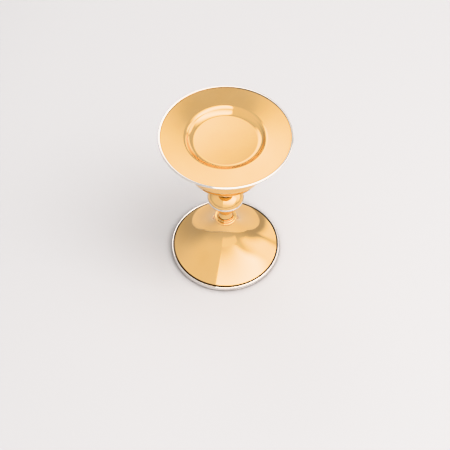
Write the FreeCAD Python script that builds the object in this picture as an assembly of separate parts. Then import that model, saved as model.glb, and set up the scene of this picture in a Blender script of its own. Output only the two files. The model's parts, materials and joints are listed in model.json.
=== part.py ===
"""Altar chalice with its lift-off paten, as an assembly of turned and spun metal pieces.

Frame: +Z up along the axis that every piece is turned about, origin at the centre of the
foot's underside, millimetres.  The stem's pieces are stacked on one threaded rod: it is
screwed into a boss under the cup, and a nut inside the hollow foot pulls the stack together.
"""
import FreeCAD, Part
import math
import os

Vector = FreeCAD.Vector
AXIS_POINT = Vector(0, 0, 0)
UP = Vector(0, 0, 1)


# ---------------------------------------------------------------- angles and points
def sine(degrees):
    return math.sin(math.radians(degrees))


def cosine(degrees):
    return math.cos(math.radians(degrees))


def polar(centre, radius, degrees):
    """Point on a circle, at an angle from straight down that grows outwards."""
    return (centre[0] + radius * sine(degrees), centre[1] - radius * cosine(degrees))


def side(hypotenuse, other_side):
    return math.sqrt(hypotenuse ** 2 - other_side ** 2)


# ---------------------------------------------------------------- driving dimensions
FOOT_DIAMETER = 130.0        # over the silver rim
CUP_RIM_HEIGHT = 197.0       # from the table to the top of the lip
CUP_MOUTH_DIAMETER = 95.8    # over the lip
PATEN_DIAMETER = 140.0
KNOP_DIAMETER = 40.0
KNOP_HEIGHT = 28.0
KNOP_CENTRE_Z = 95.0

SHEET = 1.2                  # spun sheet of the foot and the knop
CUP_SHEET = 1.1
PATEN_SHEET = 1.0
SOLDER_GAP = 0.1             # solder film between two pieces
THREAD_GAP = 0.02

# silver rim of the foot
RIM_RADIUS = FOOT_DIAMETER / 2
RIM_HEIGHT = 5.0
RIM_BEAD_WIDTH = 2.6         # silver outside the groove
RIM_SIDE_SLOPE = 75.0        # degrees from level
RIM_TOP_ROUNDING = 1.0
RIM_BOTTOM_ROUNDING = 0.6
RIM_GROOVE_ROUNDING = 0.6
RIM_BORE_RADIUS = 57.5
LEDGE_Z = 2.4                # the foot's flange stands on this ledge
GROOVE_WIDTH = 1.1           # between gold and silver
GROOVE_OUTER_RADIUS = RIM_RADIUS - RIM_BEAD_WIDTH

# trumpet of the foot: a wide arc from the edge, then a tighter one up to the stem
FOOT_EDGE_RADIUS = GROOVE_OUTER_RADIUS - GROOVE_WIDTH
FOOT_EDGE_Z = 5.3
FOOT_EDGE_ROUNDING = 2.0
FOOT_FLANGE_RADIUS = 58.2    # inner edge of the turned-in flange
FLARE_RADIUS = 150.0
NECK_RADIUS = 62.0
EDGE_SLOPE = 28.0            # degrees from level
MIDDLE_SLOPE = 45.0
TOP_SLOPE = 72.0
FLARE_CENTRE = polar((FOOT_EDGE_RADIUS, FOOT_EDGE_Z), -FLARE_RADIUS, -EDGE_SLOPE)
NECK_CENTRE = polar(FLARE_CENTRE, FLARE_RADIUS - NECK_RADIUS, -MIDDLE_SLOPE)
FOOT_TOP = polar(NECK_CENTRE, NECK_RADIUS, -TOP_SLOPE)
FOOT_TOP_Z = FOOT_TOP[1]

# knop: an oval of two roundings, cut flat at its poles
KNOP_HALF_HEIGHT = KNOP_HEIGHT / 2
KNOP_SIDE_ROUNDING = 9.8
KNOP_SEAT_RADIUS = 9.0
KNOP_SIDE_CENTRE = KNOP_DIAMETER / 2 - KNOP_SIDE_ROUNDING
POLE_GAP = KNOP_HALF_HEIGHT - KNOP_SIDE_ROUNDING
KNOP_POLE_OFFSET = (KNOP_SIDE_CENTRE ** 2 - POLE_GAP ** 2) / (2 * POLE_GAP)
KNOP_POLE_ROUNDING = KNOP_HALF_HEIGHT + KNOP_POLE_OFFSET
KNOP_SEAT_DROP = side(KNOP_POLE_ROUNDING, KNOP_SEAT_RADIUS) - KNOP_POLE_OFFSET
BAND_HEIGHT = 3.2
BAND_WIDTH = 3.2
BAND_STAND_OUT = 0.7
CORE_RADIUS = 5.4

# collars, sleeves and beads of the stem
COLLAR_HEIGHT = 6.5
COLLAR_BEAD = 1.8
COLLAR_LARGE_RADIUS = 13.0
COLLAR_SMALL_RADIUS = 9.2
COLLAR_COVE = 1.6
SLEEVE_END_RADIUS = 8.4
SLEEVE_WAIST_RADIUS = 7.0
BEAD_HEIGHT = 3.2
BEAD_ROUNDING = 1.1
BEAD_OUTER_RADIUS = 10.6
BEAD_STEP_RADIUS = 9.0

# cup
CUP_BOTTOM_Z = 128.0
CUP_BOTTOM_ROUNDING = 52.0   # the bottom is part of a sphere about the axis
CUP_SHOULDER_ROUNDING = 36.0
CUP_SHOULDER_ANGLE = 35.0    # from the axis, where the two roundings meet
CUP_BOTTOM_CENTRE = (0.0, CUP_BOTTOM_Z + CUP_BOTTOM_ROUNDING)
CUP_SHOULDER_CENTRE = polar(CUP_BOTTOM_CENTRE, CUP_BOTTOM_ROUNDING - CUP_SHOULDER_ROUNDING,
                            CUP_SHOULDER_ANGLE)
BELLY_RADIUS = CUP_SHOULDER_CENTRE[0] + CUP_SHOULDER_ROUNDING
BELLY_Z = CUP_SHOULDER_CENTRE[1]
LIP_ROUNDING = 0.85
LIP_CENTRE = (CUP_MOUTH_DIAMETER / 2 - LIP_ROUNDING, CUP_RIM_HEIGHT - LIP_ROUNDING)
SEAT_RADIUS = 21.0           # dish soldered under the bowl
SEAT_FOOT_RADIUS = 10.6
SEAT_EDGE = 0.7
SEAT_BOTTOM_Z = CUP_BOTTOM_Z - 2.6
SEAT_HOLLOW_RUN = 2.4        # the dish's hollow side passes this far out from its foot
SEAT_HOLLOW_RISE = 1.9
BOSS_RADIUS = 7.0
BOSS_SINK = 5.0              # the boss reaches this far down into the cup's collar

# paten: flat well, rounded wall, and a flange that rises gently to the edge
PATEN_REST_GAP = 0.1
FLANGE_START_RADIUS = 44.0
FLANGE_SLOPE = 5.0
WELL_WALL_ANGLE = 50.0
WELL_ROUNDING = 10.0
FLANGE_ROUNDING = 5.0
PATEN_RIM_WIDTH = 2.2
PATEN_RIM_HEIGHT = 2.4
PATEN_EDGE_RADIUS = PATEN_DIAMETER / 2 - PATEN_RIM_WIDTH

# M6 rod and its fasteners
ROD_RADIUS = 3.0
HOLE_RADIUS = 3.3
ROD_BELOW_NUT = 4.0
ROD_IN_BOSS = 6.0
NUT_ACROSS_FLATS = 10.0
NUT_HEIGHT = 5.0
NUT_FACE_INSET = 0.2         # the turned-off face is this much inside the flats
CLAMP_WASHER_RADIUS = 9.0
SPRING_WASHER_RADIUS = 5.4
SPRING_WASHER_SPLIT = 0.9
WASHER_HEIGHT = 1.6

# levels of the stack, from the table up
SLEEVE_LOWER_Z = FOOT_TOP_Z + COLLAR_HEIGHT
KNOP_BOTTOM_Z = KNOP_CENTRE_Z - KNOP_SEAT_DROP
KNOP_TOP_Z = KNOP_CENTRE_Z + KNOP_SEAT_DROP
BEAD_LOWER_Z = KNOP_BOTTOM_Z - BEAD_HEIGHT
SLEEVE_UPPER_Z = KNOP_TOP_Z + BEAD_HEIGHT
CUP_COLLAR_Z = SEAT_BOTTOM_Z - COLLAR_HEIGHT
BOSS_BOTTOM_Z = SEAT_BOTTOM_Z - BOSS_SINK
ROD_TOP_Z = BOSS_BOTTOM_Z + ROD_IN_BOSS
CLAMP_WASHER_Z = FOOT_TOP_Z - SHEET - WASHER_HEIGHT
SPRING_WASHER_Z = CLAMP_WASHER_Z - WASHER_HEIGHT
NUT_Z = SPRING_WASHER_Z - NUT_HEIGHT
ROD_BOTTOM_Z = NUT_Z - ROD_BELOW_NUT


# ---------------------------------------------------------------- drawing and turning
class Outline:
    """Half section of a turned piece, drawn with (radius, height) points."""

    def __init__(self, *start):
        self.start = start
        self.here = start
        self.edges = []

    @staticmethod
    def place(point):
        return Vector(point[0], 0, point[1])

    def line(self, *point):
        self.edges.append(Part.LineSegment(self.place(self.here), self.place(point)).toShape())
        self.here = point
        return self

    def through(self, middle, point):
        """Arc by way of a middle point."""
        places = [self.place(spot) for spot in (self.here, middle, point)]
        self.edges.append(Part.Arc(*places).toShape())
        self.here = point
        return self

    def arc(self, centre, point):
        """Shorter arc about a centre."""
        across = [a + b - 2 * c for a, b, c in zip(self.here, point, centre)]
        reach = math.dist(centre, self.here) / math.hypot(*across)
        middle = (centre[0] + across[0] * reach, centre[1] + across[1] * reach)
        return self.through(middle, point)

    def turned(self):
        """Close the section and turn it once round the axis."""
        self.line(*self.start)
        solid = Part.Face(Part.Wire(self.edges)).revolve(AXIS_POINT, UP, 360)
        if solid.Volume < 0:
            solid.reverse()
        return solid


def ring(inner_radius, outer_radius, bottom, top):
    section = Outline(inner_radius, bottom).line(outer_radius, bottom)
    return section.line(outer_radius, top).line(inner_radius, top).turned()


def rod(radius, bottom, top):
    return Part.makeCylinder(radius, top - bottom, Vector(0, 0, bottom), UP)


# ---------------------------------------------------------------- foot
def base_ring():
    """Silver ring that the chalice stands on: sloping side, rounded top, groove wall and ledge."""
    bottom_centre = (RIM_RADIUS - RIM_BOTTOM_ROUNDING, RIM_BOTTOM_ROUNDING)
    rise = RIM_HEIGHT - RIM_TOP_ROUNDING - RIM_BOTTOM_ROUNDING
    grown = RIM_TOP_ROUNDING - RIM_BOTTOM_ROUNDING
    setback = (grown + rise * cosine(RIM_SIDE_SLOPE)) / sine(RIM_SIDE_SLOPE)
    top_centre = (bottom_centre[0] - setback, RIM_HEIGHT - RIM_TOP_ROUNDING)
    groove_centre = (GROOVE_OUTER_RADIUS + RIM_GROOVE_ROUNDING, RIM_HEIGHT - RIM_GROOVE_ROUNDING)
    side_angle = 180 - RIM_SIDE_SLOPE

    section = Outline(RIM_BORE_RADIUS, 0.0).line(bottom_centre[0], 0.0)
    section.arc(bottom_centre, polar(bottom_centre, RIM_BOTTOM_ROUNDING, side_angle))
    section.line(*polar(top_centre, RIM_TOP_ROUNDING, side_angle))
    section.arc(top_centre, (top_centre[0], RIM_HEIGHT)).line(groove_centre[0], RIM_HEIGHT)
    section.arc(groove_centre, (GROOVE_OUTER_RADIUS, groove_centre[1]))
    return section.line(GROOVE_OUTER_RADIUS, LEDGE_Z).line(RIM_BORE_RADIUS, LEDGE_Z).turned()


def foot_shell():
    """Spun trumpet foot: rounded edge, turned-in flange below, flat seat for the stem above."""
    edge_r = FOOT_EDGE_RADIUS - FOOT_EDGE_ROUNDING
    edge_z = FLARE_CENTRE[1] - side(FLARE_RADIUS + FOOT_EDGE_ROUNDING, FLARE_CENTRE[0] - edge_r)
    edge_centre = (edge_r, edge_z)
    inner_edge_radius = FOOT_EDGE_RADIUS - SHEET
    flange_top = LEDGE_Z + SHEET
    seat_under = FOOT_TOP_Z - SHEET
    inner_neck = (NECK_CENTRE[0] - side(NECK_RADIUS + SHEET, NECK_CENTRE[1] - seat_under), seat_under)

    def flare_start(flare_radius):
        """Point where a flare of this radius runs into the edge's rounding."""
        share = flare_radius / (FLARE_RADIUS + FOOT_EDGE_ROUNDING)
        return tuple(far + (near - far) * share for near, far in zip(edge_centre, FLARE_CENTRE))

    section = Outline(FOOT_EDGE_RADIUS, LEDGE_Z).line(FOOT_EDGE_RADIUS, edge_z)
    section.arc(edge_centre, flare_start(FLARE_RADIUS))
    section.arc(FLARE_CENTRE, polar(FLARE_CENTRE, FLARE_RADIUS, -MIDDLE_SLOPE))
    section.arc(NECK_CENTRE, FOOT_TOP).line(HOLE_RADIUS, FOOT_TOP_Z)
    section.line(HOLE_RADIUS, seat_under).line(*inner_neck)
    section.arc(NECK_CENTRE, polar(FLARE_CENTRE, FLARE_RADIUS + SHEET, -MIDDLE_SLOPE))
    section.arc(FLARE_CENTRE, flare_start(FLARE_RADIUS + SHEET))
    section.arc(edge_centre, (inner_edge_radius, edge_z)).line(inner_edge_radius, flange_top)
    return section.line(FOOT_FLANGE_RADIUS, flange_top).line(FOOT_FLANGE_RADIUS, LEDGE_Z).turned()


# ---------------------------------------------------------------- stem
def collar(large_end, small_end):
    """Turned collar: a half-round bead at its wide end, then a cove in to the sleeve."""
    way = math.copysign(1, small_end - large_end)
    bead_r = COLLAR_LARGE_RADIUS - COLLAR_BEAD
    bead_end = large_end + way * 2 * COLLAR_BEAD
    cove_centre = (COLLAR_SMALL_RADIUS + COLLAR_COVE, bead_end + way * COLLAR_COVE)
    section = Outline(HOLE_RADIUS, large_end).line(bead_r, large_end)
    section.through((COLLAR_LARGE_RADIUS, large_end + way * COLLAR_BEAD), (bead_r, bead_end))
    section.line(cove_centre[0], bead_end)
    section.arc(cove_centre, (COLLAR_SMALL_RADIUS, cove_centre[1]))
    return section.line(COLLAR_SMALL_RADIUS, small_end).line(HOLE_RADIUS, small_end).turned()


def sleeve(bottom, top):
    """Waisted sleeve over the rod."""
    section = Outline(HOLE_RADIUS, bottom).line(SLEEVE_END_RADIUS, bottom)
    section.through((SLEEVE_WAIST_RADIUS, (bottom + top) / 2), (SLEEVE_END_RADIUS, top))
    return section.line(HOLE_RADIUS, top).turned()


def bead_ring(bottom):
    """Silver ring between a sleeve and the knop."""
    middle = bottom + BEAD_HEIGHT / 2
    bead_r = BEAD_OUTER_RADIUS - BEAD_ROUNDING
    section = Outline(HOLE_RADIUS, bottom).line(BEAD_STEP_RADIUS, bottom)
    section.line(BEAD_STEP_RADIUS, middle - BEAD_ROUNDING).line(bead_r, middle - BEAD_ROUNDING)
    section.through((BEAD_OUTER_RADIUS, middle), (bead_r, middle + BEAD_ROUNDING))
    section.line(BEAD_STEP_RADIUS, middle + BEAD_ROUNDING).line(BEAD_STEP_RADIUS, bottom + BEAD_HEIGHT)
    return section.line(HOLE_RADIUS, bottom + BEAD_HEIGHT).turned()


def knop_half(way):
    """Hollow half of the knop; way is -1 for the lower half and 1 for the upper."""
    def spot(radius, rise):
        return (radius, KNOP_CENTRE_Z + way * rise)

    lean = math.degrees(math.atan2(KNOP_SIDE_CENTRE, KNOP_POLE_OFFSET))

    def meeting(pole_rounding):
        """Where the pole's rounding and the side's rounding meet."""
        return spot(pole_rounding * sine(lean), pole_rounding * cosine(lean) - KNOP_POLE_OFFSET)

    pole_centre = spot(0.0, -KNOP_POLE_OFFSET)
    side_centre = spot(KNOP_SIDE_CENTRE, 0.0)
    pole_inside = KNOP_POLE_ROUNDING - SHEET
    half_band = BAND_HEIGHT / 2
    end_outside = KNOP_SIDE_CENTRE + side(KNOP_SIDE_ROUNDING, half_band)
    end_inside = KNOP_SIDE_CENTRE + side(KNOP_SIDE_ROUNDING - SHEET, half_band)
    flange_rise = KNOP_SEAT_DROP - SHEET
    flange_radius = side(pole_inside, flange_rise + KNOP_POLE_OFFSET)
    hole = CORE_RADIUS + SOLDER_GAP

    section = Outline(*spot(hole, KNOP_SEAT_DROP)).line(*spot(KNOP_SEAT_RADIUS, KNOP_SEAT_DROP))
    section.arc(pole_centre, meeting(KNOP_POLE_ROUNDING)).arc(side_centre, spot(end_outside, half_band))
    section.line(*spot(end_inside, half_band)).arc(side_centre, meeting(pole_inside))
    section.arc(pole_centre, spot(flange_radius, flange_rise))
    return section.line(*spot(hole, flange_rise)).turned()


def knop_band():
    """Silver band round the knop's widest line, between its halves."""
    shoulder = KNOP_DIAMETER / 2
    outer = shoulder + BAND_STAND_OUT
    bottom = KNOP_CENTRE_Z - BAND_HEIGHT / 2
    top = KNOP_CENTRE_Z + BAND_HEIGHT / 2
    section = Outline(outer - BAND_WIDTH, bottom).line(shoulder, bottom)
    section.through((outer, KNOP_CENTRE_Z), (shoulder, top))
    return section.line(outer - BAND_WIDTH, top).turned()


# ---------------------------------------------------------------- cup
def cup_bowl():
    """Spun bowl with a rolled lip."""
    half_wall = CUP_SHEET / 2
    lip_drop = side(LIP_ROUNDING, half_wall)
    inside_rounding = CUP_BOTTOM_ROUNDING - CUP_SHEET

    def lip_end(way):
        return (LIP_CENTRE[0] + way * half_wall, LIP_CENTRE[1] - lip_drop)

    def flare_centre(belly_radius, end):
        """Centre of the gentle curve from the upright belly out to the lip."""
        rise = end[1] - BELLY_Z
        run = end[0] - belly_radius
        return (belly_radius + (rise ** 2 + run ** 2) / (2 * run), BELLY_Z)

    belly_inside = BELLY_RADIUS - CUP_SHEET
    section = Outline(0.0, CUP_BOTTOM_Z)
    section.arc(CUP_BOTTOM_CENTRE, polar(CUP_BOTTOM_CENTRE, CUP_BOTTOM_ROUNDING, CUP_SHOULDER_ANGLE))
    section.arc(CUP_SHOULDER_CENTRE, (BELLY_RADIUS, BELLY_Z))
    section.arc(flare_centre(BELLY_RADIUS, lip_end(1)), lip_end(1))
    section.through((LIP_CENTRE[0], CUP_RIM_HEIGHT), lip_end(-1))
    section.arc(flare_centre(belly_inside, lip_end(-1)), (belly_inside, BELLY_Z))
    section.arc(CUP_SHOULDER_CENTRE, polar(CUP_BOTTOM_CENTRE, inside_rounding, CUP_SHOULDER_ANGLE))
    return section.arc(CUP_BOTTOM_CENTRE, (0.0, CUP_BOTTOM_Z + CUP_SHEET)).turned()


def under_bowl(radius):
    """Point a solder film below the bowl's bottom."""
    return (radius, CUP_BOTTOM_CENTRE[1] - side(CUP_BOTTOM_ROUNDING + SOLDER_GAP, radius))


def cup_seat():
    """Flared dish soldered under the bowl, which carries it on the stem."""
    hole = BOSS_RADIUS + SOLDER_GAP
    edge = under_bowl(SEAT_RADIUS)
    hollow = (SEAT_FOOT_RADIUS + SEAT_HOLLOW_RUN, SEAT_BOTTOM_Z + SEAT_HOLLOW_RISE)
    section = Outline(hole, SEAT_BOTTOM_Z).line(SEAT_FOOT_RADIUS, SEAT_BOTTOM_Z)
    section.through(hollow, (SEAT_RADIUS, edge[1] - SEAT_EDGE))
    return section.line(*edge).arc(CUP_BOTTOM_CENTRE, under_bowl(hole)).turned()


def cup_boss():
    """Boss brazed to the bowl's bottom, with a blind threaded hole for the rod."""
    hole = ROD_RADIUS + THREAD_GAP
    hole_end = ROD_TOP_Z + THREAD_GAP
    section = Outline(hole, BOSS_BOTTOM_Z).line(BOSS_RADIUS, BOSS_BOTTOM_Z)
    section.line(*under_bowl(BOSS_RADIUS)).arc(CUP_BOTTOM_CENTRE, under_bowl(0.0))
    return section.line(0.0, hole_end).line(hole, hole_end).turned()


def cup_collar():
    """Collar under the seat, bored out to take the boss."""
    pocket = rod(BOSS_RADIUS + SOLDER_GAP, BOSS_BOTTOM_Z, SEAT_BOTTOM_Z)
    return collar(SEAT_BOTTOM_Z, CUP_COLLAR_Z).cut(pocket)


# ---------------------------------------------------------------- paten
WALL_RUN = (WELL_ROUNDING * sine(WELL_WALL_ANGLE)
            + FLANGE_ROUNDING * (sine(WELL_WALL_ANGLE) - sine(FLANGE_SLOPE)))
WALL_RISE = (WELL_ROUNDING * (1 - cosine(WELL_WALL_ANGLE))
             + FLANGE_ROUNDING * (cosine(FLANGE_SLOPE) - cosine(WELL_WALL_ANGLE)))
FLANGE_GRADE = sine(FLANGE_SLOPE) / cosine(FLANGE_SLOPE)
FLANGE_START_Z = CUP_RIM_HEIGHT + PATEN_REST_GAP - (LIP_CENTRE[0] - FLANGE_START_RADIUS) * FLANGE_GRADE
WELL_RADIUS = FLANGE_START_RADIUS - WALL_RUN
WELL_Z = FLANGE_START_Z - WALL_RISE
WELL_CENTRE = (WELL_RADIUS, WELL_Z + WELL_ROUNDING)
FLANGE_CENTRE = polar(WELL_CENTRE, WELL_ROUNDING + FLANGE_ROUNDING, WELL_WALL_ANGLE)


def paten_edge_z(sheet):
    """Height at the plate's edge of the face that lies a sheet above the underside."""
    start = polar(FLANGE_CENTRE, -(FLANGE_ROUNDING + sheet), FLANGE_SLOPE)
    return start[1] + (PATEN_EDGE_RADIUS - start[0]) * FLANGE_GRADE


def paten_plate():
    """Spun plate that rests on the lip, with its well hanging inside the cup's mouth."""
    section = Outline(0.0, WELL_Z).line(WELL_RADIUS, WELL_Z)
    section.arc(WELL_CENTRE, polar(WELL_CENTRE, WELL_ROUNDING, WELL_WALL_ANGLE))
    section.arc(FLANGE_CENTRE, polar(FLANGE_CENTRE, -FLANGE_ROUNDING, FLANGE_SLOPE))
    section.line(PATEN_EDGE_RADIUS, paten_edge_z(0.0)).line(PATEN_EDGE_RADIUS, paten_edge_z(PATEN_SHEET))
    section.line(*polar(FLANGE_CENTRE, -(FLANGE_ROUNDING + PATEN_SHEET), FLANGE_SLOPE))
    section.arc(FLANGE_CENTRE, polar(WELL_CENTRE, WELL_ROUNDING - PATEN_SHEET, WELL_WALL_ANGLE))
    section.arc(WELL_CENTRE, (WELL_RADIUS, WELL_Z + PATEN_SHEET))
    return section.line(0.0, WELL_Z + PATEN_SHEET).turned()


def paten_rim():
    """Silver half-round ring soldered round the plate's edge."""
    middle = (paten_edge_z(0.0) + paten_edge_z(PATEN_SHEET)) / 2
    half = PATEN_RIM_HEIGHT / 2
    round_r = PATEN_DIAMETER / 2 - half
    section = Outline(PATEN_EDGE_RADIUS, middle - half).line(round_r, middle - half)
    section.through((PATEN_DIAMETER / 2, middle), (round_r, middle + half))
    return section.line(PATEN_EDGE_RADIUS, middle + half).turned()


# ---------------------------------------------------------------- fasteners
def clamp_nut():
    """Hexagon nut with its corners turned off."""
    corner = NUT_ACROSS_FLATS / 2 / cosine(30)
    corners = [Vector(corner * cosine(60 * k), corner * sine(60 * k), NUT_Z) for k in range(7)]
    prism = Part.Face(Part.makePolygon(corners)).extrude(Vector(0, 0, NUT_HEIGHT))
    hole = ROD_RADIUS + THREAD_GAP
    flat = NUT_ACROSS_FLATS / 2 - NUT_FACE_INSET
    drop = (corner - flat) * sine(30) / cosine(30)
    top = NUT_Z + NUT_HEIGHT
    turned = Outline(hole, NUT_Z).line(flat, NUT_Z).line(corner, NUT_Z + drop)
    turned.line(corner, top - drop).line(flat, top).line(hole, top)
    return prism.common(turned.turned()).Solids[0]


def spring_washer():
    """Washer split on one side."""
    whole = ring(HOLE_RADIUS, SPRING_WASHER_RADIUS, SPRING_WASHER_Z, CLAMP_WASHER_Z)
    corner = Vector(0, -SPRING_WASHER_SPLIT / 2, SPRING_WASHER_Z)
    split = Part.makeBox(2 * SPRING_WASHER_RADIUS, SPRING_WASHER_SPLIT, WASHER_HEIGHT, corner)
    return whole.cut(split)


PIECES = {
    "base_ring": base_ring(),
    "foot_shell": foot_shell(),
    "foot_collar": collar(FOOT_TOP_Z, SLEEVE_LOWER_Z),
    "stem_sleeve_lower": sleeve(SLEEVE_LOWER_Z, BEAD_LOWER_Z),
    "bead_ring_lower": bead_ring(BEAD_LOWER_Z),
    "knop_lower": knop_half(-1),
    "knop_band": knop_band(),
    "knop_upper": knop_half(1),
    "knop_core": ring(HOLE_RADIUS, CORE_RADIUS, KNOP_BOTTOM_Z, KNOP_TOP_Z),
    "bead_ring_upper": bead_ring(KNOP_TOP_Z),
    "stem_sleeve_upper": sleeve(SLEEVE_UPPER_Z, CUP_COLLAR_Z),
    "cup_collar": cup_collar(),
    "cup_seat": cup_seat(),
    "cup_boss": cup_boss(),
    "cup_bowl": cup_bowl(),
    "tie_rod": rod(ROD_RADIUS, ROD_BOTTOM_Z, ROD_TOP_Z),
    "clamp_washer": ring(HOLE_RADIUS, CLAMP_WASHER_RADIUS, CLAMP_WASHER_Z, FOOT_TOP_Z - SHEET),
    "spring_washer": spring_washer(),
    "clamp_nut": clamp_nut(),
    "paten_plate": paten_plate(),
    "paten_rim": paten_rim(),
}

os.makedirs("parts", exist_ok=True)
for name, piece in PIECES.items():
    piece.exportStep(f"parts/{name}.step")
    print(f"{name:18} valid {piece.isValid()} solids {len(piece.Solids)} volume {piece.Volume:9.1f}")
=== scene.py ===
import json
import math

import bpy
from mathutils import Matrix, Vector

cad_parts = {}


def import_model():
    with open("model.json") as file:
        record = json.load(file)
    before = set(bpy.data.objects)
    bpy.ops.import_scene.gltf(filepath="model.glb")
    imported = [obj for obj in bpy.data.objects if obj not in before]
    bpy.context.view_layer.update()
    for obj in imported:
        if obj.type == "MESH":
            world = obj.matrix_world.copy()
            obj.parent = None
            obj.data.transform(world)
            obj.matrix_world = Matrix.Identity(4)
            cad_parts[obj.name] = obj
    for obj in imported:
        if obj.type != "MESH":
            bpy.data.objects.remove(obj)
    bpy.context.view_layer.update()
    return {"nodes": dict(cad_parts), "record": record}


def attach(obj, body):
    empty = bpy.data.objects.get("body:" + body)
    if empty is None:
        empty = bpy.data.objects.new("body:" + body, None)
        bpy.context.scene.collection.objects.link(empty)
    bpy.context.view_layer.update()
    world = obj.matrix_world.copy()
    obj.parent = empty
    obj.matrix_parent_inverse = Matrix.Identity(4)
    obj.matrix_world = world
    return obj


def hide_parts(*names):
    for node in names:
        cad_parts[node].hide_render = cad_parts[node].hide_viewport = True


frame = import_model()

MM = 0.001
NEAR = 1e-6                      # two places closer than this are one
IN_LINE = 1e-12                  # three points that span less area than this are in line

WIDE_TURN_STEPS = 288            # steps of a full turn on a wide piece
SLIM_TURN_STEPS = 144            # and on a slim one
SLIM_RADIUS = 22 * MM
ARC_STEP_ANGLE = math.radians(4)
ARC_STEP_LENGTH = 1.6 * MM
SAME_CHORD = 0.02                # chords of one arc differ by less than this share
SHARP_BEND = math.radians(25)    # a sharper bend than this is a corner, not part of an arc

THREAD_PITCH = 1.0 * MM          # the rod's free end is cut with an M6 thread
THREAD_DEPTH = 0.55 * MM
THREAD_LENGTH = 7.0 * MM
THREAD_FLANK = 1.3               # steepness of its flanks, which leaves the root flat
THREAD_CREST = 0.15              # and this leaves the crest flat
THREAD_STEPS = 60                # round the rod
THREAD_ROWS = 10                 # along one pitch
THREAD_EDGE = math.radians(40)   # edges sharper than this are shaded sharp


# ---------------------------------------------------------------- turned pieces
def section_chain(node):
    """Corners (radius, height) of a turned node, in order, where its mesh crosses the XZ plane."""
    vertices = frame["nodes"][node].data.vertices
    links = {}
    for edge in frame["nodes"][node].data.edges:
        ends = [vertices[index].co for index in edge.vertices]
        if any(abs(place.y) > NEAR or place.x < -NEAR for place in ends):
            continue
        a, b = ((round(place.x, 7), round(place.z, 7)) for place in ends)
        if a != b and max(a[0], b[0]) > NEAR:
            links.setdefault(a, set()).add(b)
            links.setdefault(b, set()).add(a)
    loose_ends = sorted(point for point, others in links.items() if len(others) == 1)
    chain = [loose_ends[0] if loose_ends else min(links)]
    while len(chain) <= len(links):
        onward = sorted(links[chain[-1]] - set(chain[-2:-1]))
        if not onward or onward[0] == chain[0]:
            break
        chain.append(onward[0])
    if not loose_ends:
        chain.append(chain[0])
    else:                        # a piece without a bore: its section ends on the axis
        if chain[0][0] > NEAR:
            chain.insert(0, (0.0, chain[0][1]))
        if chain[-1][0] > NEAR:
            chain.append((0.0, chain[-1][1]))
    swing = sum(a[0] * b[1] - b[0] * a[1] for a, b in zip(chain, chain[1:] + chain[:1]))
    return chain if swing > 0 else chain[::-1]


def stretches(chain):
    """Cut a section into its straight lines and arcs: an arc's chords are all of one length."""
    cuts = [chain[0:2]]
    for a, b in zip(chain[1:], chain[2:]):
        before = cuts[-1][-2]
        last = math.dist(before, a)
        bend = math.atan2(b[1] - a[1], b[0] - a[0]) - math.atan2(a[1] - before[1], a[0] - before[0])
        same_length = abs(math.dist(a, b) - last) < SAME_CHORD * last
        if same_length and abs(math.remainder(bend, math.tau)) < SHARP_BEND:
            cuts[-1].append(b)
        else:
            cuts.append([a, b])
    return cuts


def circle_through(a, b, c):
    """Centre of the circle through three points, or None where they are in line."""
    twice_area = 2 * ((b[0] - a[0]) * (c[1] - a[1]) - (c[0] - a[0]) * (b[1] - a[1]))
    if abs(twice_area) < IN_LINE:
        return None
    ab = (b[0] ** 2 - a[0] ** 2) + (b[1] ** 2 - a[1] ** 2)
    ac = (c[0] ** 2 - a[0] ** 2) + (c[1] ** 2 - a[1] ** 2)
    return ((ab * (c[1] - a[1]) - ac * (b[1] - a[1])) / twice_area,
            (ac * (b[0] - a[0]) - ab * (c[0] - a[0])) / twice_area)


def fine_stretch(points):
    """Points and outward normals along one line or arc, close enough for a mirror finish."""
    start, end = points[0], points[-1]
    centre = circle_through(start, points[len(points) // 2], end) if len(points) > 2 else None
    if centre is None:
        length = math.dist(start, end)
        normal = ((end[1] - start[1]) / length, -(end[0] - start[0]) / length)
        return [start, end], [normal, normal]
    radius = math.dist(centre, start)
    first, second = (math.atan2(y - centre[1], x - centre[0]) for x, y in points[:2])
    sweep = math.remainder(second - first, math.tau) * (len(points) - 1)
    steps = math.ceil(max(abs(sweep) / ARC_STEP_ANGLE, abs(sweep) * radius / ARC_STEP_LENGTH))
    way = math.copysign(1, sweep)
    angles = [first + sweep * k / steps for k in range(steps + 1)]
    spots = [(centre[0] + radius * math.cos(t), centre[1] + radius * math.sin(t)) for t in angles]
    spots[0], spots[-1] = start, end
    return spots, [(way * math.cos(t), way * math.sin(t)) for t in angles]


def round_axis(radius, height, turns):
    """The point or direction at a share of a turn round the Z axis."""
    return radius * math.cos(math.tau * turns), radius * math.sin(math.tau * turns), height


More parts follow.
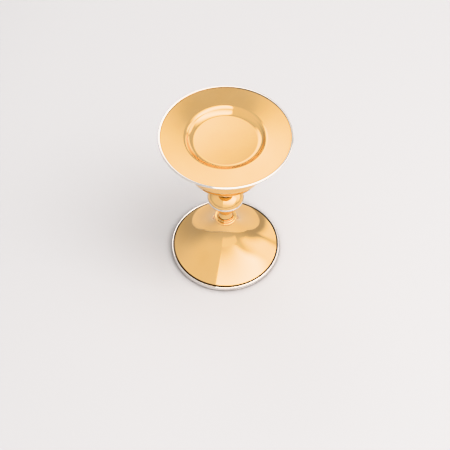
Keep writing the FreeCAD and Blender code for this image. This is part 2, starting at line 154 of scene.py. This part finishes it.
def turned(name, chain, steps):
    """Mesh of a section turned about the Z axis, with the section's own normals."""
    vertices, faces, normals, rows = [], [], [], {}

    def row(point):
        """Indices of the vertices that a section point makes, all round or at the axis."""
        if point not in rows:
            count = 1 if point[0] < NEAR else steps
            rows[point] = [len(vertices) + k for k in range(count)] * (steps // count)
            vertices.extend(round_axis(*point, k / steps) for k in range(count))
        return rows[point]

    for points in stretches(chain):
        spots, slopes = fine_stretch(points)
        for a, b, slope_a, slope_b in zip(spots, spots[1:], slopes, slopes[1:]):
            if max(a[0], b[0]) < NEAR:
                continue
            row_a, row_b = row(a), row(b)
            for k in range(steps):
                after = (k + 1) % steps
                corners = [(row_a[k], slope_a, k), (row_a[after], slope_a, k + 1),
                           (row_b[after], slope_b, k + 1), (row_b[k], slope_b, k)]
                if a[0] < NEAR:          # at the axis two corners are one
                    corners.pop(1)
                if b[0] < NEAR:
                    corners.pop(2)
                faces.append([index for index, _, _ in corners])
                normals.extend(round_axis(*slope, step / steps) for _, slope, step in corners)
    mesh = bpy.data.meshes.new(name)
    mesh.from_pydata(vertices, [], faces)
    mesh.shade_smooth()
    mesh.normals_split_custom_set(normals)
    return mesh


def stand_in(mesh, node, body, material):
    """Put a finer mesh in place of a CAD node; the piece is named after its mesh."""
    mesh.materials.append(material)
    piece = bpy.data.objects.new(mesh.name, mesh)
    bpy.context.scene.collection.objects.link(piece)
    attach(piece, body)
    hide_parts(node)


def turned_piece(node):
    """A finely turned mesh of a CAD node, so that polish shows no facets."""
    chain = section_chain(node)
    slim = max(radius for radius, _ in chain) < SLIM_RADIUS
    return turned(f"{node}_turned", chain, SLIM_TURN_STEPS if slim else WIDE_TURN_STEPS)


def thread_cut(height, turn):
    """Depth of the thread at a height above the rod's end, a share of a turn round the rod."""
    if height >= THREAD_LENGTH:
        return 0.0
    valley = 1 - 2 * abs(math.remainder(height / THREAD_PITCH - turn, 1.0))
    depth = THREAD_DEPTH * min(max(THREAD_FLANK * valley - THREAD_CREST, 0.0), 1.0)
    return max(depth, THREAD_DEPTH - height)      # the end is chamfered to the thread's root


def threaded_rod(node):
    """The rod with a thread cut on its free end, which shows below the nut."""
    corners = [vertex.co for vertex in frame["nodes"][node].data.vertices]
    radius = max(corner.x for corner in corners)
    bottom = min(corner.z for corner in corners)
    top = max(corner.z for corner in corners)
    row_count = round(THREAD_LENGTH / THREAD_PITCH) * THREAD_ROWS
    heights = [THREAD_PITCH * k / THREAD_ROWS for k in range(row_count)]
    heights += [THREAD_LENGTH, top - bottom]
    vertices, faces = [], [tuple(reversed(range(THREAD_STEPS)))]
    for height in heights:
        for turn in (k / THREAD_STEPS for k in range(THREAD_STEPS)):
            vertices.append(round_axis(radius - thread_cut(height, turn), bottom + height, turn))
    for row in range(len(heights) - 1):
        for k in range(THREAD_STEPS):
            here, after = (row * THREAD_STEPS + step % THREAD_STEPS for step in (k, k + 1))
            faces.append((here, after, after + THREAD_STEPS, here + THREAD_STEPS))
    faces.append(tuple(range(len(vertices) - THREAD_STEPS, len(vertices))))
    mesh = bpy.data.meshes.new(f"{node}_threaded")
    mesh.from_pydata(vertices, [], faces)
    mesh.shade_smooth()
    mesh.set_sharp_from_angle(angle=THREAD_EDGE)
    return mesh


# ---------------------------------------------------------------- shader nodes
RINGS_PER_HEIGHT = 1.3           # lines along the axis for each line along the radius


def feed(tree, socket, value):
    """Link an output socket to an input, or set the input to a value."""
    if isinstance(value, bpy.types.NodeSocket):
        tree.links.new(value, socket)
    else:
        socket.default_value = value


def mapped(tree, value, start, stop, low, high, shape="LINEAR"):
    """A value's range from start to stop, mapped to low to high."""
    made = tree.nodes.new("ShaderNodeMapRange")
    made.interpolation_type = shape
    for key, given in (("Value", value), ("From Min", start), ("From Max", stop),
                       ("To Min", low), ("To Max", high)):
        feed(tree, made.inputs[key], given)
    return made.outputs["Result"]


def calculated(tree, operation, a, b):
    made = tree.nodes.new("ShaderNodeMath")
    made.operation = operation
    feed(tree, made.inputs[0], a)
    feed(tree, made.inputs[1], b)
    return made.outputs[0]


class Recipe:
    """A procedural material, built node by node round one Principled shader."""

    def __init__(self, name, **sockets):
        self.material = bpy.data.materials.new(name)
        self.material.use_nodes = True
        self.tree = self.material.node_tree
        self.shader = self.tree.nodes["Principled BSDF"]
        for socket, value in sockets.items():
            self.shader.inputs[socket].default_value = value

    def node(self, kind, settings=None, **inputs):
        """New node; each named input takes either an output socket or a value."""
        made = self.tree.nodes.new(kind)
        for key, value in (settings or {}).items():
            setattr(made, key, value)
        for key, value in inputs.items():
            feed(self.tree, made.inputs[key], value)
        return made

    def vector(self, operation, a, b=None):
        """Node of vector maths on one or two vectors."""
        made = self.node("ShaderNodeVectorMath", {"operation": operation})
        feed(self.tree, made.inputs[0], a)
        if b is not None:
            feed(self.tree, made.inputs[1], b)
        return made

    def times(self, a, b):
        return calculated(self.tree, "MULTIPLY", a, b)

    def plus(self, a, b):
        return calculated(self.tree, "ADD", a, b)

    def place(self):
        """The point on the piece, in metres, in the row's frame."""
        return self.node("ShaderNodeTexCoord").outputs["Object"]

    def noise(self, scale, detail, distortion=0.0):
        made = self.node("ShaderNodeTexNoise", Vector=self.place(), Scale=scale,
                         Detail=detail, Distortion=distortion)
        return made.outputs["Fac"]

    def rings(self, lines_per_metre):
        """Fine lines round the axis, as a lathe tool or a polishing mop leaves them."""
        flat = self.vector("MULTIPLY", self.place(), (1, 1, 0)).outputs["Vector"]
        radius = self.vector("LENGTH", flat).outputs["Value"]
        height = self.node("ShaderNodeSeparateXYZ", Vector=self.place()).outputs["Z"]
        along = calculated(self.tree, "SUBTRACT", self.times(height, RINGS_PER_HEIGHT), radius)
        made = self.node("ShaderNodeTexNoise", {"noise_dimensions": "1D"}, W=along,
                         Scale=lines_per_metre, Detail=3.0)
        return made.outputs["Fac"]

    def spread(self, value, low, high, start=0.3, stop=0.7):
        """A noise, which is mostly between 0.3 and 0.7, spread over a range."""
        return mapped(self.tree, value, start, stop, low, high)

    def blend(self, share, first, second):
        """Colour between two colours or colour outputs."""
        made = self.node("ShaderNodeMix", {"data_type": "RGBA"})
        for index, value in ((0, share), (6, first), (7, second)):     # 6 and 7 take colours
            value = (*value, 1.0) if isinstance(value, tuple) else value
            feed(self.tree, made.inputs[index], value)
        return made.outputs[2]

    def crevice(self, reach, closed=0.25, clear=0.85):
        """From ambient occlusion, used for painted shade: 1 deep in a groove or seam, 0 in the
        open.
        """
        made = self.node("ShaderNodeAmbientOcclusion", {"samples": 8}, Distance=reach)
        return mapped(self.tree, made.outputs["AO"], closed, clear, 1.0, 0.0)

    def facing(self, centre):
        """1 on surfaces turned towards a point, 0 on surfaces turned away from it."""
        to_surface = self.vector("SUBTRACT", self.place(), centre).outputs["Vector"]
        normal = self.node("ShaderNodeTexCoord").outputs["Normal"]
        along = self.vector("DOT_PRODUCT", normal, to_surface).outputs["Value"]
        return calculated(self.tree, "LESS_THAN", along, 0.0)

    def bump(self, height, strength, distance):
        made = self.node("ShaderNodeBump", Height=height, Strength=strength, Distance=distance)
        feed(self.tree, self.shader.inputs["Normal"], made.outputs["Normal"])

    def finish(self, colour, roughness):
        feed(self.tree, self.shader.inputs["Base Color"], colour)
        feed(self.tree, self.shader.inputs["Roughness"], roughness)
        return self.material


# ---------------------------------------------------------------- materials
MIRROR = 0.035                   # roughness of clean plate
CLOUDED = 1.5 * MIRROR           # of plate with a faint film on it
WORN = 0.11                      # and where wipe marks and hairlines meet
LINING_SATIN = 0.12              # roughness that the cup's satin lining adds
DIRT_AND_SHADE_COVER = 0.95             # how much of the plate the dirt and painted shade in a seam hide
BOWL_HOLLOW = (0, 0, 180 * MM)   # a point in the hollow of the cup, that its inside faces


def polished(name, colour, deeper, seam_dirt_and_shade, lining=None, centre=None):
    """Mirror-polished plate: soft cloudiness, hairline marks round the axis, dirt and painted shade
    in seams.

    A hollow piece may have a satin lining of another colour, which faces the centre."""
    recipe = Recipe(name, Metallic=1.0)
    cloud = recipe.noise(28.0, detail=3.0)
    tint = recipe.blend(recipe.spread(cloud, 0.0, 1.0), colour, deeper)
    # painted shade: ambient occlusion darkens the plate in seams and grooves towards a dark dirt
    # colour
    seam = recipe.times(recipe.crevice(2.2 * MM, closed=0.6, clear=0.95), DIRT_AND_SHADE_COVER)
    tint = recipe.blend(seam, tint, seam_dirt_and_shade)
    hairlines = recipe.rings(2400.0)
    wipes = recipe.noise(420.0, detail=2.0, distortion=1.4)
    marks = recipe.times(recipe.spread(wipes, 0.0, 1.0, start=0.45, stop=0.75),
                         recipe.spread(hairlines, 0.3, 1.0))
    rough = recipe.plus(recipe.spread(cloud, MIRROR, CLOUDED), recipe.times(marks, WORN - MIRROR))
    recipe.bump(hairlines, strength=0.035, distance=0.02 * MM)
    if lining:
        inside = recipe.facing(centre)
        tint = recipe.blend(inside, tint, lining)
        rough = recipe.plus(rough, recipe.times(inside, LINING_SATIN))
    return recipe.finish(tint, rough)


def machined(name, colour, deeper, seam_dirt_and_shade, lines_per_metre):
    """Unpolished turned metal, with its tool marks left on."""
    recipe = Recipe(name, Metallic=1.0)
    marks = recipe.rings(lines_per_metre)
    stain = recipe.noise(90.0, detail=4.0, distortion=0.5)
    tint = recipe.blend(recipe.spread(stain, 0.0, 1.0), colour, deeper)
    # painted shade: ambient occlusion darkens thread roots and seams towards a dark dirt colour
    tint = recipe.blend(recipe.crevice(1.2 * MM), tint, seam_dirt_and_shade)
    recipe.bump(marks, strength=0.25, distance=0.05 * MM)
    return recipe.finish(tint, recipe.spread(stain, 0.24, 0.42))


# each metal: its colour, the colour of its deeper patches, and that of the dirt and painted shade
# in its seams
GOLD_COLOURS = (0.97, 0.635, 0.305), (0.95, 0.60, 0.26), (0.12, 0.05, 0.015)
SILVER_COLOURS = (0.83, 0.80, 0.77), (0.77, 0.73, 0.70), (0.10, 0.06, 0.035)
BRASS_COLOURS = (0.72, 0.52, 0.25), (0.60, 0.42, 0.19), (0.10, 0.06, 0.02)
STEEL_COLOURS = (0.62, 0.62, 0.60), (0.50, 0.50, 0.47), (0.08, 0.07, 0.06)
LINING_COLOUR = (1.0, 0.77, 0.47)

MATERIAL_OF_SLOT = {
    "gold": polished("gold_plate", *GOLD_COLOURS),
    "silver": polished("silver_plate", *SILVER_COLOURS),
    "brass": machined("turned_brass", *BRASS_COLOURS, lines_per_metre=1800.0),
    "steel": machined("zinc_steel", *STEEL_COLOURS, lines_per_metre=900.0),
}
GILT_BOWL = polished("gilt_bowl", *GOLD_COLOURS, lining=LINING_COLOUR, centre=BOWL_HOLLOW)

# ---------------------------------------------------------------- the chalice and the paten
SLOT_OF_NODE = {row["node"]: row["material_slot"] for row in frame["record"]["subparts"]}
NODES_OF_BODY = frame["record"]["behaviour"]["bodies"]
BODY_OF_NODE = {node: body for body, nodes in NODES_OF_BODY.items() for node in nodes}
NOT_TURNED = ("clamp_nut", "spring_washer")      # they keep their CAD mesh

for node, slot in SLOT_OF_NODE.items():
    material = GILT_BOWL if node == "cup_bowl" else MATERIAL_OF_SLOT[slot]
    if node in NOT_TURNED:
        frame["nodes"][node].data.materials[0] = material
    else:
        mesh = threaded_rod(node) if node == "tie_rod" else turned_piece(node)
        stand_in(mesh, node, BODY_OF_NODE[node], material)


# ---------------------------------------------------------------- studio
FLOOR_RADIUS = 4.2
FLOOR_SIDES = 192
CLOTH_COLOURS = (0.345, 0.340, 0.346), (0.375, 0.369, 0.375)
# colour of the shadow painted on the cloth round where things stand on it
PAINTED_CONTACT_SHADOW = (0.21, 0.192, 0.187)

LENS = 75.07                     # millimetres on a 36 mm sensor, as solved from the tablecloth
SENSOR = 36.0
CAMERA_PLACE = (-0.0007, -0.6344, 0.9317)
CAMERA_TILT = math.radians(35.46)

WARM_WHITE = (1.0, 0.985, 0.965)
AIR_COLOUR = (1.0, 0.98, 0.965, 1)
WATTS = 4                        # for each square metre of a lamp of radiance 1
EVEN_FADE = (0.35, 0.35, 0.35, 0.35)
MIDDLE_OF_OBJECT = (0, 0, 0.08)


def floor():
    """A round of pale cloth, wide enough for views from low down, with a shadow painted round where
    things stand on it.
    """
    mesh = bpy.data.meshes.new("studio_floor")
    edge = [round_axis(FLOOR_RADIUS, 0, k / FLOOR_SIDES) for k in range(FLOOR_SIDES)]
    mesh.from_pydata(edge, [], [range(FLOOR_SIDES)])
    recipe = Recipe("pale_floor")
    grain = recipe.noise(900.0, detail=3.0)
    recipe.bump(grain, strength=0.08, distance=0.1 * MM)
    cloth = recipe.blend(grain, *CLOTH_COLOURS)
    # painted contact shadow: ambient occlusion darkens the cloth next to the pieces
    painted_contact_shadow = recipe.crevice(9 * MM, closed=0.35, clear=1.0)
    mesh.materials.append(recipe.finish(recipe.blend(painted_contact_shadow, cloth, PAINTED_CONTACT_SHADOW), 0.7))
    ground = bpy.data.objects.new("studio_floor", mesh)
    bpy.context.scene.collection.objects.link(ground)


def softbox(name, place, size, radiance, aim=MIDDLE_OF_OBJECT, soft=EVEN_FADE, turn=None):
    """Area light that fades at its left, right, bottom and top edges, as a diffuser does.

    It faces its aim or, if a turn is given, hangs level, turned so far about the vertical."""
    light = bpy.data.lights.new(name, "AREA")
    light.shape = "RECTANGLE"
    light.size, light.size_y = size
    light.energy = WATTS * radiance * size[0] * size[1]
    light.color = WARM_WHITE
    light.use_nodes = True
    tree = light.node_tree
    across = tree.nodes.new("ShaderNodeNewGeometry")
    split = tree.nodes.new("ShaderNodeSeparateXYZ")
    tree.links.new(across.outputs["Parametric"], split.inputs[0])
    strength = 1.0
    for axis, edge, share in zip("XXYY", (0, 1, 0, 1), soft):
        inner = abs(edge - share)
        strength = mapped(tree, split.outputs[axis], edge, inner, low=0.0, high=strength,
                          shape="SMOOTHSTEP")
    feed(tree, tree.nodes["Emission"].inputs["Strength"], strength)
    lamp = bpy.data.objects.new(name, light)
    lamp.location = place
    if turn is None:
        lamp.rotation_euler = (Vector(aim) - Vector(place)).to_track_quat("-Z", "Y").to_euler()
    else:
        lamp.rotation_euler = (0, 0, turn)
    bpy.context.scene.collection.objects.link(lamp)


def camera():
    """The photo's camera, and a view transform that keeps the colours of metals."""
    lens = bpy.data.cameras.new("photo_camera")
    lens.lens = LENS
    lens.sensor_width = SENSOR
    eye = bpy.data.objects.new("photo_camera", lens)
    eye.location = CAMERA_PLACE
    eye.rotation_euler = (CAMERA_TILT, 0, 0)
    bpy.context.scene.collection.objects.link(eye)
    bpy.context.scene.camera = eye
    bpy.context.scene.view_settings.view_transform = "Khronos PBR Neutral"


def world():
    """Pale studio air, dimmer towards the horizon and the back."""
    air = bpy.data.worlds.new("studio_air")
    bpy.context.scene.world = air
    air.use_nodes = True
    tree = air.node_tree
    direction = tree.nodes.new("ShaderNodeTexCoord")
    split = tree.nodes.new("ShaderNodeSeparateXYZ")
    tree.links.new(direction.outputs["Generated"], split.inputs[0])
    height = mapped(tree, split.outputs["Z"], 0.0, 0.5, low=0.68, high=0.92, shape="SMOOTHSTEP")
    depth = mapped(tree, split.outputs["Y"], 0.7, -0.1, low=0.78, high=1.0, shape="SMOOTHSTEP")
    background = tree.nodes["Background"]
    feed(tree, background.inputs["Strength"], calculated(tree, "MULTIPLY", height, depth))
    background.inputs["Color"].default_value = AIR_COLOUR


floor()
world()
camera()
softbox("key_box", (1.4, -1.3, 2.0), (3.77, 4.2), 6.4,
        soft=(0.02, 0.3, 0.85, 0.3), turn=math.radians(-13.6))
softbox("front_box", (1.8, -2.9, 1.35), (5.4, 1.7), 0.35,
        aim=(1.8, 0, 1.35), soft=(0.015, 0.015, 0.3, 0.3))
softbox("right_box", (2.3, 0.35, 1.35), (2.7, 1.9), 2.2,
        aim=(0, 0.35, 1.35), soft=(0.65, 0.2, 0.3, 0.3))
softbox("back_box", (-0.5, 1.2, 1.3), (1.6, 1.0), 3.2)
softbox("side_box", (1.5, 2.0, 0.75), (1.7, 1.2), 1.1, soft=(0.2, 0.4, 0.4, 0.4))
